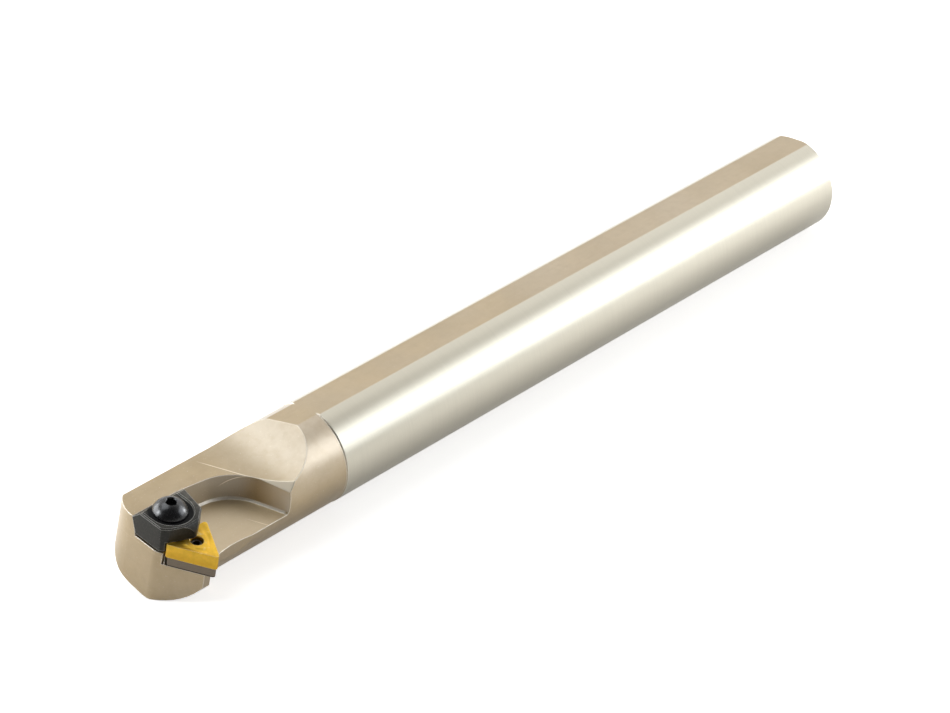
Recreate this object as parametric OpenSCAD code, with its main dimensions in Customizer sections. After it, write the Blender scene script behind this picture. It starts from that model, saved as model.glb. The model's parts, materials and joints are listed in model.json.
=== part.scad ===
// Indexable boring bar: a round steel bar with two flats, and at its front end a tilted seat that holds
// a triangular insert on a shim, located by a lock pin and held by a wedge clamp with one screw.
//
// Frame: +X runs along the bar from the rear face to the head, +Y points to the cutting corner and +Z is
// up, square to the upper flat. The origin is on the bar's axis at the rear face.
// The head is machined in a frame turned about the X axis by the seat's tilt. There the three
// coordinates are x along the bar, v across it toward the insert, and n up, square to the seat.

/* [Bar] */
// Overall length
bar_len = 300; // [200:5:400]
// Diameter of the bar
bar_d = 32; // [31:0.25:34]
// Height over the two flats
flat_h = 30; // [28:0.25:31]
// Length of the dull head zone in front of the ground part
head_len = 67.7; // [64:0.5:90]
// Depth of the step and of the ring groove behind the head zone
ring_depth = 0.2; // [0.1:0.05:0.4]
// Chamfer at the rear end
rear_chamfer = 0.8; // [0.3:0.1:2]

/* [Insert] */
// Distance from the bar's axis to the sharp cutting corner
tip_offset = 22; // [21:0.25:23]
// Tilt of the seat about the bar's axis, in degrees
seat_tilt = 14; // [10:0.5:16]
// Diameter of the circle inside the insert's three sides
insert_ic = 9.525; // [9:0.125:10]
// Thickness of the insert
insert_t = 4.76; // [4:0.01:5.2]
// Radius of the insert's corners
nose_r = 0.8; // [0.4:0.1:1.2]
// Diameter of the insert's hole
insert_bore = 3.81; // [3.6:0.01:4.2]
// Width of the chip groove along the insert's edges
groove_w = 1.9; // [1.4:0.1:2.2]
// Depth of the chip groove
groove_depth = 0.3; // [0.1:0.05:0.5]
// Distance from the front end back to the insert's centre
insert_back = 10; // [9.5:0.25:12]

/* [Shim] */
// Thickness of the shim under the insert
shim_t = 3.18; // [2.5:0.01:4]
// How far the shim's sides lie inside the insert's
shim_inset = 0.25; // [0.1:0.05:0.6]

/* [Lock pin] */
// Diameter of the pin's thread and collar
pin_thread_d = 4.9; // [4.5:0.1:5.3]
// Length of the pin below the seat
pin_depth = 7; // [5:0.5:7.5]
// How far the pin's end stays below the insert's top
pin_below_top = 0.9; // [0.5:0.1:1.5]
// Width across the flats of the pin's socket
pin_hex = 2; // [1.5:0.1:2.2]

/* [Head] */
// Height of the milled top above the axis, square to the seat
head_top = 7.2; // [7:0.1:8.5]
// Distance from the front end back to where the milled top starts to rise
runout_back = 38; // [36:0.5:42]
// Radius of the cutter that milled the top
runout_r = 30; // [20:1:36]
// Backward lean of the head's outer faces, in degrees
face_lean = 3.4; // [0:0.2:4]
// Radius of the front corner on the far side
nose_corner_r = 10; // [6:0.5:11]
// Radius of the edge between the front face and the side face under the insert
front_edge_r = 4; // [2:0.5:6]
// Radius of the body under the insert
belly_r = 16.4; // [16.2:0.1:17]
// How far that radius is set toward the insert
belly_shift = 3.2; // [2.6:0.1:3.6]

/* [Chip notch] */
// Distance from the wedge's pocket back to the centre of the notch's corner
notch_back = 7.3; // [6.5:0.1:8.5]
// Height of the notch floor above the axis
notch_floor = 0; // [-0.6:0.1:0.3]
// Radius of the notch's corner at its floor
notch_r = 14.8; // [13:0.2:16]
// Draft of the notch wall, in degrees
notch_draft = 15; // [10:1:18]
// Bevel between the notch's floor and wall
notch_bevel = 0.6; // [0.2:0.1:1]
// How far the notch's side wall runs back over one bar radius
notch_side_run = 6.5; // [3:0.5:8]
// Depth of the shallow hollow in the side behind the insert
hollow_depth = 0.6; // [0.2:0.1:1]
// Length of that hollow
hollow_len = 13.3; // [10:0.1:16]

/* [Wedge clamp] */
// Width of the wedge's pocket at its floor
pocket_w = 10.6; // [10:0.1:11]
// Height of the pocket's floor above the shim
pocket_step = 0.75; // [0.4:0.05:1]
// Length of the wedge along the bar
wedge_len = 17.4; // [16:0.2:17.6]
// Height of the wedge's top above the milled top of the head
wedge_proud = 3.1; // [2.5:0.1:4]
// Lean of the wedge's back face and of the wall behind it, in degrees
wedge_angle = 20; // [12:1:22]
// Gap between the wedge's underside and the pocket floor
wedge_gap = 0.9; // [0.4:0.1:1.2]
// Reach of the wedge's nose over the insert
nose_reach = 3.4; // [2.4:0.1:3.6]
// Lean of the wedge's rear edge in plan, in degrees
wedge_rear_lean = 11.5; // [0:0.5:15]
// Bevel along the wedge's upper edges
wedge_bevel = 0.35; // [0.1:0.05:0.6]

/* [Clamp screw] */
// Distance from the front end back to the screw
screw_back = 8.2; // [7.6:0.1:8.8]
// Distance from the seat's side to the screw
screw_side = 5.6; // [5.2:0.1:6]
// Nominal diameter of the screw
screw_d = 6; // [5:0.5:6]
// Diameter of its button head
screw_head_d = 10.5; // [9.5:0.25:11]
// Height of its button head
screw_head_h = 4.1; // [3.3:0.1:4.5]
// Width across the flats of its socket
screw_hex = 3; // [2.5:0.5:4]
// Length of the screw under its head
screw_len = 20; // [16:1:22]
// Thickness of the retaining ring on the screw
stop_t = 0.7; // [0.5:0.1:1]

/* [Hidden] */

// Colours as the photograph shows them
ground_steel = "#c9c5bb";
insert_gold = "#d9a92e";
shim_grey = "#6f665c";
black_oxide = "#33322f";

// Fit clearances, all per side: sliding faces, thread, pin in the insert, seat around the shim,
// ring in the wedge, and screw through the wedge
slide_gap = 0.12;
thread_gap = 0.08;
pin_gap = 0.055;
seat_gap = 0.3;
ring_gap = 0.3;
hole_gap = 0.3;
// Gap that lets the wedge's nose rest on the insert
rest_gap = 0.02;

// Generous reach of a cut past the body
past = bar_d;
roundness = 96;
fine_round = 48;

bar_r = bar_d / 2;
head_r = bar_r - ring_depth;
ring_x = bar_len - head_len;
groove_len = 0.4;
flat_end_r = 12;

// Insert and seat in the tilted frame
insert_top = tip_offset * sin(seat_tilt);
insert_v = tip_offset * cos(seat_tilt) - insert_ic;
insert_x = bar_len - insert_back;
corner_half = insert_ic / 2 * tan(60);
shim_ic = insert_ic - 2 * shim_inset;
shim_top = insert_top - insert_t;
seat_n = shim_top - shim_t;
side_v = insert_v - insert_ic / 2;
// Width of the relief between the shim and the wedge's side of the seat
side_relief = 0.6;
pin_hole_extra = 0.5;
pin_collar_drop = 0.2;
pin_bevel = 0.4;

// The outer faces lean about a line at the seat's height, so that their lowest point ends the bar
front_x = bar_len - (bar_r + seat_n) * tan(face_lean);
belly_drop = 0.6;
corner_clear = 0.2;

// Wedge and its pocket, beside the insert
wedge_inset = 0.3;
rear_gap = 0.15;
wedge_front = front_x - wedge_inset;
wedge_rear = wedge_front - wedge_len;
wedge_face = side_v - slide_gap;
pocket_floor = shim_top + pocket_step;
pocket_rear = wedge_rear - rear_gap;
back_foot = side_v - pocket_w;
wedge_bottom = pocket_floor + wedge_gap;
wedge_top = head_top + wedge_proud;
nose_tip_r = 2.2;
nose_top = 1.4;
nose_slope = 2.1;

// Screw in the recess of the wedge, and the ring in the neck of the screw
screw_x = front_x - screw_back;
screw_v = side_v - screw_side;
recess_depth = 0.7;
recess_gap = 1.6;
head_seat = wedge_top - recess_depth;
screw_hole_extra = 2;
neck_depth = 0.6;
neck_play = 0.1;
ring_play = 0.05;
stop_r = screw_d / 2 + 1.3;
stop_seat = 1.1;
neck_n = wedge_bottom + stop_seat - stop_t - neck_play;

// Everything inside is placed in the tilted frame
module tilted() {
    rotate([-seat_tilt, 0, 0])
        children();
}

// Moves an object from the origin to the insert's centre at height n
module at_insert(n) {
    translate([insert_x, insert_v, n])
        children();
}

module at_screw(n) {
    translate([screw_x, screw_v, n])
        children();
}

// Plate in the outline of a round-cornered triangle, one corner toward the cutting side. Its sides
// lie at half the inscribed circle's diameter from its centre.
module triangle_plate(ic, r, h) {
    linear_extrude(h)
        offset(r = r, $fn = 32)
            rotate(90)
                circle(r = ic - 2 * r, $fn = 3);
}

// Hexagonal socket, named by its width across flats
module hex_socket(across, depth) {
    translate([0, 0, -depth])
        cylinder(d = across / cos(30), h = depth + 1, $fn = 6);
}

// Turned bar: rear chamfer, ground part, ring groove and head zone
module turned_bar() {
    rotate([0, 90, 0])
        rotate_extrude($fn = roundness)
            polygon([
                [0, 0],
                [bar_r - rear_chamfer, 0],
                [bar_r, rear_chamfer],
                [bar_r, ring_x],
                [head_r - ring_depth, ring_x + groove_len / 2],
                [head_r, ring_x + groove_len],
                [head_r, bar_len],
                [0, bar_len]
            ]);
}

// The lower flat ends at the ring groove, in the cutter's run-out
module flat_cuts() {
    translate([-1, -past, flat_h / 2])
        cube([bar_len + 2, 2 * past, past]);
    translate([-1, -past, -flat_h / 2 - past])
        cube([ring_x + 1, 2 * past, past]);
    translate([ring_x, past, -flat_h / 2 - flat_end_r])
        rotate([90, 0, 0])
            cylinder(r = flat_end_r, h = 2 * past, $fn = roundness);
}

// Plan of the head's outer faces: front face, side face along the insert's front edge, a rounded
// corner on the far side and a rounded edge between the two faces
module head_plan() {
    edge_x = insert_x + corner_half - shim_inset / cos(30);
    corner_x = front_x - nose_corner_r;
    corner_v = nose_corner_r - bar_r - corner_clear;
    round_x = front_x - front_edge_r;
    round_v = side_v - ((round_x - edge_x) * cos(30) + front_edge_r) / sin(30);
    meet_v = side_v - (front_x - edge_x) / tan(30);
    difference() {
        intersection() {
            union() {
                translate([-past, -past])
                    square([corner_x + past, 2 * past]);
                translate([-past, corner_v])
                    square([front_x + past, 2 * past]);
                translate([corner_x, corner_v])
                    circle(nose_corner_r, $fn = roundness);
            }
            polygon([
                [-past, -past],
                [edge_x + (side_v + past) * tan(30), -past],
                [edge_x - past * tan(30), side_v + past],
                [-past, side_v + past]
            ]);
        }
        difference() {
            polygon([
                [round_x, round_v],
                [front_x + 1, round_v],
                [front_x + 1, meet_v],
                [front_x + 1 - front_edge_r * sin(30), meet_v + front_edge_r],
                [round_x + front_edge_r * cos(30), round_v + front_edge_r * sin(30)]
            ]);
            translate([round_x, round_v])
                circle(front_edge_r, $fn = roundness);
        }
    }
}

// The outer faces lean back about a line at the seat's height. The reach keeps the leaning block's
// top and bottom clear of the bar at the rear end.
module front_faces() {
    reach = 2 * past;
    translate([front_x, 0, seat_n])
        rotate([0, -face_lean, 0])
            translate([-front_x, 0, -reach])
                linear_extrude(2 * reach)
                    head_plan();
}

// Body under the insert: a larger radius, set toward the insert, ends in a side face along the
// insert's rear edge
module belly() {
    reach = 2 * bar_d;
    intersection() {
        translate([insert_x - insert_ic - bar_r, belly_shift, -belly_drop])
            rotate([0, 90, 0])
                cylinder(r = belly_r, h = insert_ic + bar_r + insert_back, $fn = roundness);
        tilted()
            translate([insert_x, 0, seat_n])
                rotate([0, -face_lean, 0])
                    translate([0, insert_v, -past])
                        linear_extrude(past + 1)
                            offset(r = nose_r, $fn = 32)
                                rotate(90)
                                    translate([shim_ic - 2 * nose_r, 0])
                                        polygon([
                                            [0, 0],
                                            [-reach, reach * tan(30)],
                                            [-reach, -reach * tan(30)]
                                        ]);
    }
}

// Milled top of the head, with the round run-out that the cutter leaves
module top_cut() {
    translate([bar_len - runout_back, -past, head_top])
        cube([runout_back + past, 2 * past, past]);
    translate([bar_len - runout_back, past, head_top + runout_r])
        rotate([90, 0, 0])
            cylinder(r = runout_r, h = 2 * past, $fn = 2 * roundness);
}

// One place of the tapered cutter that makes the chip notch
module notch_cutter(x, v) {
    translate([x, v, notch_floor]) {
        cylinder(r1 = notch_r - notch_bevel, r2 = notch_r, h = notch_bevel, $fn = roundness);
        translate([0, 0, notch_bevel])
            cylinder(r1 = notch_r, r2 = notch_r + bar_r * tan(notch_draft), h = bar_r, $fn = roundness);
    }
}

// The cutter turns the notch's corner and runs out to the front and to the side
module notch_cut() {
    step_v = 0.7;
    front_run = 8;
    front_rise = 1;
    corner_x = pocket_rear - notch_back;
    corner_v = back_foot + step_v + notch_r;
    intersection() {
        hull() {
            notch_cutter(corner_x, corner_v);
            notch_cutter(corner_x + front_run, corner_v - front_rise);
            notch_cutter(corner_x - notch_side_run, corner_v + bar_r);
        }
        translate([0, 0, notch_floor - 1])
            linear_extrude(2 * bar_d)
                polygon([
                    [0, -bar_d],
                    [pocket_rear, -bar_d],
                    [pocket_rear, side_v],
                    [insert_x, side_v],
                    [insert_x, bar_d],
                    [0, bar_d]
                ]);
    }
}

// Bevel along the upper edge of the notch's wall: it starts at nothing where the wall turns, and widens
// out to the side
module wall_bevel() {
    edge_back = 40.2;
    edge_v = 3.5;
    edge_n = 7.3;
    turn = 126;
    rise = 6.4;
    roll = 36;
    width = 6;
    translate([bar_len - edge_back, edge_v, edge_n])
        rotate([0, 0, turn])
            rotate([0, -rise, 0])
                rotate([roll, 0, 0])
                    translate([0, -width, 0])
                        cube([bar_r, 2 * width, width]);
}

// Shallow hollow in the side behind the insert, named by its length and depth at the notch's floor
module side_hollow() {
    back = 22;
    hollow_r = (pow(hollow_len / 2, 2) + pow(hollow_depth, 2)) / (2 * hollow_depth);
    translate([bar_len - back, head_r - hollow_depth + hollow_r, -past])
        cylinder(r = hollow_r, h = 2 * past, $fn = 4 * roundness);
}

// Pocket of the wedge: level floor and a back wall that leans away from the insert
module wedge_pocket() {
    translate([pocket_rear, 0, 0])
        rotate([90, 0, 90])
            linear_extrude(wedge_len + past)
                polygon([
                    [back_foot, pocket_floor],
                    [insert_v, pocket_floor],
                    [insert_v, pocket_floor + past],
                    [back_foot - past * tan(wedge_angle), pocket_floor + past]
                ]);
}

// Seat of the shim, with a wider relief along the side that faces the wedge
module seat_cut() {
    at_insert(seat_n)
        triangle_plate(shim_ic + 2 * seat_gap, nose_r, past);
    translate([insert_x - corner_half + nose_r, side_v + shim_inset - side_relief, seat_n])
        cube([bar_r, side_relief, past]);
}

module bar() {
    color(ground_steel)
        difference() {
            intersection() {
                union() {
                    turned_bar();
                    belly();
                }
                tilted()
                    front_faces();
            }
            flat_cuts();
            tilted() {
                top_cut();
                notch_cut();
                wall_bevel();
                side_hollow();
                wedge_pocket();
                seat_cut();
                at_screw(head_seat - screw_len - screw_hole_extra)
                    cylinder(d = screw_d + 2 * thread_gap, h = past, $fn = fine_round);
                at_insert(seat_n - pin_depth - pin_hole_extra)
                    cylinder(d = pin_thread_d + 2 * slide_gap, h = past, $fn = fine_round);
            }
        }
}

module shim() {
    color(shim_grey)
        tilted()
            at_insert(seat_n)
                difference() {
                    triangle_plate(shim_ic, nose_r, shim_t);
                    translate([0, 0, -1])
                        cylinder(d = pin_thread_d + 2 * slide_gap, h = shim_t + 2, $fn = fine_round);
                }
}

// Chip groove of one face: a frame-shaped channel with sloping walls, set in from the cutting edge
module chip_groove() {
    land = 0.25;
    slope = 0.5;
    difference() {
        hull() {
            triangle_plate(insert_ic - 2 * land, nose_r, 1);
            translate([0, 0, -groove_depth])
                triangle_plate(insert_ic - 2 * (land + slope), nose_r, 1);
        }
        hull() {
            translate([0, 0, -groove_depth - 1])
                triangle_plate(insert_ic - 2 * (groove_w - slope), nose_r, 1);
            translate([0, 0, -1])
                triangle_plate(insert_ic - 2 * groove_w, nose_r, 1);
        }
    }
}

module insert() {
    color(insert_gold)
        tilted()
            at_insert(shim_top)
                difference() {
                    triangle_plate(insert_ic, nose_r, insert_t);
                    translate([0, 0, -1])
                        cylinder(d = insert_bore, h = insert_t + 2, $fn = fine_round);
                    translate([0, 0, insert_t])
                        chip_groove();
                    mirror([0, 0, 1])
                        chip_groove();
                }
}

// Threaded end and collar under a thinner pin that locates the insert
module lock_pin() {
    pin_r = insert_bore / 2 - pin_gap;
    collar_n = seat_n + shim_t - pin_collar_drop;
    top_n = insert_top - pin_below_top;
    color(black_oxide)
        tilted()
            at_insert(0)
                difference() {
                    rotate_extrude($fn = fine_round)
                        polygon([
                            [0, seat_n - pin_depth],
                            [pin_thread_d / 2 - pin_bevel, seat_n - pin_depth],
                            [pin_thread_d / 2, seat_n - pin_depth + pin_bevel],
                            [pin_thread_d / 2, collar_n],
                            [pin_r, collar_n],
                            [pin_r, top_n - pin_bevel],
                            [pin_r - pin_bevel, top_n],
                            [0, top_n]
                        ]);
                    translate([0, 0, top_n])
                        hex_socket(pin_hex, pin_hex);
                }
}

// Plan of the wedge: square at the front, drawn in to a round nose over the insert, with a rear edge that
// leans forward from the pocket's wall to the insert's side
module wedge_plan(inset) {
    edge_r = 0.5;
    front_v = 1.2;
    lip_x = 2.9;
    lip_v = 1.1;
    lip_r = 2;
    rear_r = 1.5;
    rear_v = back_foot + 0.8;
    rear_x = wedge_rear + rear_r / cos(wedge_rear_lean) + (wedge_face - rear_r - rear_v) * tan(wedge_rear_lean);
    nose_back = 1.5;
    hull() {
        translate([wedge_front - edge_r - inset, wedge_face - front_v - inset])
            circle(edge_r, $fn = 24);
        translate([wedge_front - lip_x, wedge_face - lip_v])
            circle(lip_r - inset, $fn = 24);
        translate([wedge_front - 1 - inset, back_foot - past])
            square(1);
        translate([wedge_rear + inset, back_foot - past])
            square([1, past + rear_v - back_foot]);
        translate([rear_x, wedge_face - rear_r])
            circle(rear_r - inset, $fn = 24);
        translate([screw_x - nose_back, side_v + nose_reach - nose_tip_r])
            circle(nose_tip_r - inset, $fn = 32);
    }
}

// Side view of the wedge: back face parallel to the pocket wall, upper back bevel, nose with a round top
module wedge_profile() {
    back_v = back_foot + slide_gap;
    foot = back_v - (wedge_bottom - pocket_floor) * tan(wedge_angle);
    shoulder = back_v - (head_top - pocket_floor) * tan(wedge_angle);
    nose_v = side_v + nose_reach;
    nose_n = insert_top + rest_gap;
    brow = insert_top + nose_top;
    polygon(concat(
        [
            [foot, wedge_bottom],
            [wedge_face, wedge_bottom],
            [wedge_face, nose_n],
            [nose_v, nose_n]
        ],
        [for (a = [0 : 15 : 90]) [nose_v - nose_slope * (1 - cos(a)), brow + (wedge_top - brow) * sin(a)]],
        [
            [shoulder + wedge_proud, wedge_top],
            [shoulder, head_top]
        ]
    ));
}

// Recess around the screw's head, open toward the pocket's wall
module head_recess() {
    recess_r = screw_head_d / 2 + recess_gap;
    cylinder(r = recess_r, h = past, $fn = fine_round);
    translate([-recess_r, -past, 0])
        cube([2 * recess_r, past, past]);
}

module wedge_clamp() {
    color(black_oxide)
        tilted()
            difference() {
                intersection() {
                    hull() {
                        linear_extrude(wedge_top - wedge_bevel)
                            wedge_plan(0);
                        linear_extrude(wedge_top)
                            wedge_plan(wedge_bevel);
                    }
                    translate([wedge_rear - 1, 0, 0])
                        rotate([90, 0, 90])
                            linear_extrude(wedge_len + 2)
                                wedge_profile();
                }
                at_screw(0)
                    cylinder(d = screw_d + 2 * hole_gap, h = past, $fn = fine_round);
                at_screw(head_seat)
                    head_recess();
                at_screw(0)
                    cylinder(r = stop_r + ring_gap, h = wedge_bottom + stop_seat, $fn = fine_round);
            }
}

// Button head: a spherical cap over a short rim, with a hexagonal socket
module button_head() {
    rim = 0.6;
    socket_depth = 2.6;
    cap_h = screw_head_h - rim;
    cap_r = (pow(screw_head_d / 2, 2) + pow(cap_h, 2)) / (2 * cap_h);
    difference() {
        intersection() {
            cylinder(d = screw_head_d, h = screw_head_h, $fn = roundness);
            translate([0, 0, screw_head_h - cap_r])
                sphere(cap_r, $fn = roundness);
        }
        translate([0, 0, screw_head_h])
            hex_socket(screw_hex, socket_depth);
    }
}

// Shank with a neck for the retaining ring and a bevelled tip, under the button head
module clamp_screw() {
    tip_bevel = 0.8;
    shank_r = screw_d / 2;
    neck_z = neck_n - head_seat;
    color(black_oxide)
        tilted()
            at_screw(head_seat) {
                button_head();
                rotate_extrude($fn = fine_round)
                    polygon([
                        [0, -screw_len],
                        [shank_r - tip_bevel, -screw_len],
                        [shank_r, tip_bevel - screw_len],
                        [shank_r, neck_z],
                        [shank_r - neck_depth, neck_z],
                        [shank_r - neck_depth, neck_z + stop_t],
                        [shank_r, neck_z + stop_t],
                        [shank_r, 0],
                        [0, 0]
                    ]);
            }
}

// Retaining ring in the screw's neck: it lifts the wedge when the screw is turned out
module stop_ring() {
    opening = 3.2;
    neck_r = screw_d / 2 - neck_depth;
    color(black_oxide)
        tilted()
            at_screw(neck_n + ring_play)
                difference() {
                    cylinder(r = stop_r, h = stop_t - 2 * ring_play, $fn = fine_round);
                    translate([0, 0, -1])
                        cylinder(r = neck_r + ring_play, h = stop_t + 2, $fn = fine_round);
                    translate([-2 * stop_r, -opening / 2, -1])
                        cube([2 * stop_r, opening, stop_t + 2]);
                }
}

bar();
shim();
insert();
lock_pin();
wedge_clamp();
clamp_screw();
stop_ring();
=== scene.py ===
"""Finishes, insert, clamp screw and studio of an indexable boring bar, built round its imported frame."""

import json
import math

import bmesh
import bpy
import numpy as np
from bpy.props import FloatProperty, FloatVectorProperty, IntProperty, PointerProperty
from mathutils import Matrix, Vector


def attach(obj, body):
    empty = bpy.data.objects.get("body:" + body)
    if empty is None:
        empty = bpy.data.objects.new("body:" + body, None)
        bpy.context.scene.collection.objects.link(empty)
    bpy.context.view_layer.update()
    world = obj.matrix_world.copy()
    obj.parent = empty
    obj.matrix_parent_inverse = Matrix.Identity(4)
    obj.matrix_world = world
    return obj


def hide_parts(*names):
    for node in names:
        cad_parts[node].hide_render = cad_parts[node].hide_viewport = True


bl_info = {
    "name": "Indexable Boring Bar",
    "version": (1, 0, 0),
    "blender": (4, 5, 0),
    "location": "View3D > Sidebar > Boring Bar",
    "description": "Dresses a boring bar in ground and matte steel, with a coated insert and a blackened clamp",
    "category": "Object",
}

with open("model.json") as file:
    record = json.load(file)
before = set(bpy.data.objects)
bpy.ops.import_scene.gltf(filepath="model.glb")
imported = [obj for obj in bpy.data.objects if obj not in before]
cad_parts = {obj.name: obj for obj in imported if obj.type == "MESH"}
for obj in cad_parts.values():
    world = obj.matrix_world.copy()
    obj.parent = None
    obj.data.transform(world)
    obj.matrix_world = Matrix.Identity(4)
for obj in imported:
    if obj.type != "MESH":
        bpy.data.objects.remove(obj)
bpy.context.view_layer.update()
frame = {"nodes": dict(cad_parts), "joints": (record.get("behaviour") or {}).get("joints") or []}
joints = {joint["name"]: joint for joint in frame["joints"]}

# The head is machined in a frame turned about the bar's axis: U points out of the seat, V across it
U = np.array(joints["clamp_lift"]["axis"], float)
U /= np.linalg.norm(U)
V = np.cross(U, (1.0, 0.0, 0.0))
SCREW_FOOT = np.array(joints["screw_turn"]["pos_m"], float)

# The level direction from the bar to the camera
CAMERA_SIDE = (0.74, 0.67, 0.0)

# A millimetre, in metres
MM = 0.001


# Sizes and colours

class BarFinish(bpy.types.PropertyGroup):
    """Where the bar's finishes lie, and their colours"""

    ground_from: FloatProperty(
        name="Ground part",
        description="Length of the bright ground part, from the rear end",
        default=0.2323,
        subtype="DISTANCE",
        unit="LENGTH",
    )
    flat_height: FloatProperty(
        name="Flat height",
        description="Height of the upper flat above the axis",
        default=0.015,
        subtype="DISTANCE",
        unit="LENGTH",
    )
    ground_colour: FloatVectorProperty(
        name="Ground steel",
        description="Colour of the ground round",
        default=(0.60, 0.56, 0.45),
        subtype="COLOR",
        min=0,
        max=1,
    )
    matte_colour: FloatVectorProperty(
        name="Matte steel",
        description="Colour of the head and the flats",
        default=(0.49, 0.37, 0.20),
        subtype="COLOR",
        min=0,
        max=1,
    )
    edge_radius: FloatProperty(
        name="Edge radius",
        description="Radius that deburring leaves on the edges",
        default=0.0004,
        precision=5,
        subtype="DISTANCE",
        unit="LENGTH",
    )


class InsertShape(bpy.types.PropertyGroup):
    """Sizes and colour of the insert"""

    circle: FloatProperty(
        name="Inscribed circle",
        description="Diameter of the circle inside the three sides",
        default=0.009525,
        precision=6,
        subtype="DISTANCE",
        unit="LENGTH",
    )
    corner: FloatProperty(
        name="Corner radius",
        description="Radius of the three corners",
        default=0.0008,
        precision=5,
        subtype="DISTANCE",
        unit="LENGTH",
    )
    hole: FloatProperty(
        name="Hole",
        description="Diameter of the hole",
        default=0.00381,
        precision=5,
        subtype="DISTANCE",
        unit="LENGTH",
    )
    groove_width: FloatProperty(
        name="Chip groove width",
        description="Width of the groove along the cutting edges",
        default=0.0017,
        precision=5,
        subtype="DISTANCE",
        unit="LENGTH",
    )
    groove_depth: FloatProperty(
        name="Chip groove depth",
        description="Depth of the groove along the cutting edges",
        default=0.0003,
        precision=5,
        subtype="DISTANCE",
        unit="LENGTH",
    )
    colour: FloatVectorProperty(
        name="Coating",
        description="Colour of the golden coating",
        default=(0.82, 0.515, 0.063),
        subtype="COLOR",
        min=0,
        max=1,
    )


class ScrewShape(bpy.types.PropertyGroup):
    """Sizes of the clamp screw"""

    diameter: FloatProperty(
        name="Thread diameter",
        description="Outer diameter of the thread",
        default=0.006,
        precision=5,
        subtype="DISTANCE",
        unit="LENGTH",
    )
    pitch: FloatProperty(
        name="Pitch",
        description="Distance from one turn of the thread to the next",
        default=0.001,
        precision=5,
        subtype="DISTANCE",
        unit="LENGTH",
    )
    head_diameter: FloatProperty(
        name="Head diameter",
        description="Diameter of the button head",
        default=0.0105,
        precision=5,
        subtype="DISTANCE",
        unit="LENGTH",
    )
    head_height: FloatProperty(
        name="Head height",
        description="Height of the button head",
        default=0.0041,
        precision=5,
        subtype="DISTANCE",
        unit="LENGTH",
    )
    rim: FloatProperty(
        name="Rim",
        description="Height of the straight rim under the dome",
        default=0.0006,
        precision=5,
        subtype="DISTANCE",
        unit="LENGTH",
    )
    socket: FloatProperty(
        name="Socket",
        description="Width across the flats of the hexagonal socket",
        default=0.003,
        precision=5,
        subtype="DISTANCE",
        unit="LENGTH",
    )
    length: FloatProperty(
        name="Length",
        description="Length under the head",
        default=0.020,
        precision=5,
        subtype="DISTANCE",
        unit="LENGTH",
    )
    sides: IntProperty(
        name="Points round",
        description="Points round each turn of the screw",
        default=96,
        min=24,
        max=240,
    )


class ClampFinish(bpy.types.PropertyGroup):
    """Colours of the clamp and the shim"""

    black: FloatVectorProperty(
        name="Black oxide",
        description="Colour of the blackened steel",
        default=(0.024, 0.0225, 0.0175),
        subtype="COLOR",
        min=0,
        max=1,
    )
    shim_colour: FloatVectorProperty(
        name="Shim",
        description="Colour of the ground shim",
        default=(0.22, 0.18, 0.14),
        subtype="COLOR",
        min=0,
        max=1,
    )


class StudioSetup(bpy.types.PropertyGroup):
    """The camera and the floor"""

    camera_place: FloatVectorProperty(
        name="Camera place",
        description="Where the camera stands",
        default=(0.86374, 0.67118, 0.52656),
        subtype="TRANSLATION",
        unit="LENGTH",
    )
    camera_turn: FloatVectorProperty(
        name="Camera turn",
        description="How the camera is turned",
        default=(math.radians(61.594), math.radians(2.4435), math.radians(132.310)),
        subtype="EULER",
        unit="ROTATION",
    )
    lens: FloatProperty(
        name="Lens",
        description="Focal length on a sensor 36 mm wide",
        default=136.56,
        unit="CAMERA",
    )
    floor_colour: FloatVectorProperty(
        name="Floor",
        description="Colour of the floor",
        default=(0.68, 0.665, 0.645),
        subtype="COLOR",
        min=0,
        max=1,
    )


# Small sizes and counts that no property sets; lengths are in metres

# Points of a surface closer than this are one point, and edges that turn by more degrees than this look sharp
JOIN = 1e-7
SHARP = 28
# Where one ring of points lies just inside another: the share of the outer one's radius
WITHIN = 0.97

# Of the insert: land and hone along its edge and how far each lies below the plateau, the least corner of an inner
# outline, and the bevel of the hole's mouth
LAND, LAND_DROP = 0.00022, 0.00004
HONE, HONE_DROP = 0.00004, 0.00001
LEAST_CORNER = 0.00025
MOUTH_WIDTH, MOUTH_DEPTH = 0.00012, 0.00018
# Of the plateau: its corner, how far it draws back there and over what angle, and its margin round the hole
PLATEAU_CORNER, PLATEAU_DIP, DIP_ANGLE, PLATEAU_MARGIN = 0.0011, 0.0009, 0.34, 0.0004
# Of the groove: how its wave leans and rounds, its ripples and their share of the depth
GROOVE_LEAN, GROOVE_ROUND = 0.85, 1.4
RIPPLES, RIPPLE_SHARE = 9, 0.2
# Points on each corner and side, how far round the corner's points reach, rings across the groove, and the heights
# of the rings on the side as shares of the thickness
CORNER_POINTS, SIDE_POINTS, CORNER_REACH = 16, 44, 1.6
GROOVE_RINGS = 15
SIDE_RINGS = (0.75, 0.5, 0.25)

# Of the screw: its socket's depth, corner, root and drilled cone, the lip of its mouth and the two steps to it
SOCKET_DEPTH, SOCKET_CORNER, SOCKET_ROOT, SOCKET_CONE = 0.0026, 0.00012, 0.0001, 0.0004
SOCKET_LIP = 0.00018
LIP_STEPS = (0.00024, 0.00009)
# Chamfer under the head and fillet to the shank, depth and chamfer of the ring's neck, and the ring's play in it
HEAD_CHAMFER, HEAD_FILLET = 0.00015, 0.0003
NECK_DEPTH, NECK_CHAMFER, NECK_PLAY = 0.0006, 0.0001, 0.00005
# Depth of the thread over its pitch, and how far its wave runs past the crest and the root, where it is cut flat
THREAD_DEPTH, THREAD_FLAT = 0.6, 0.125
# Lengths over which the thread starts and ends, and how much thinner than the thread the screw's tip is
THREAD_START, THREAD_END, TIP_DEPTH = 0.0006, 0.0012, 0.0008
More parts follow.
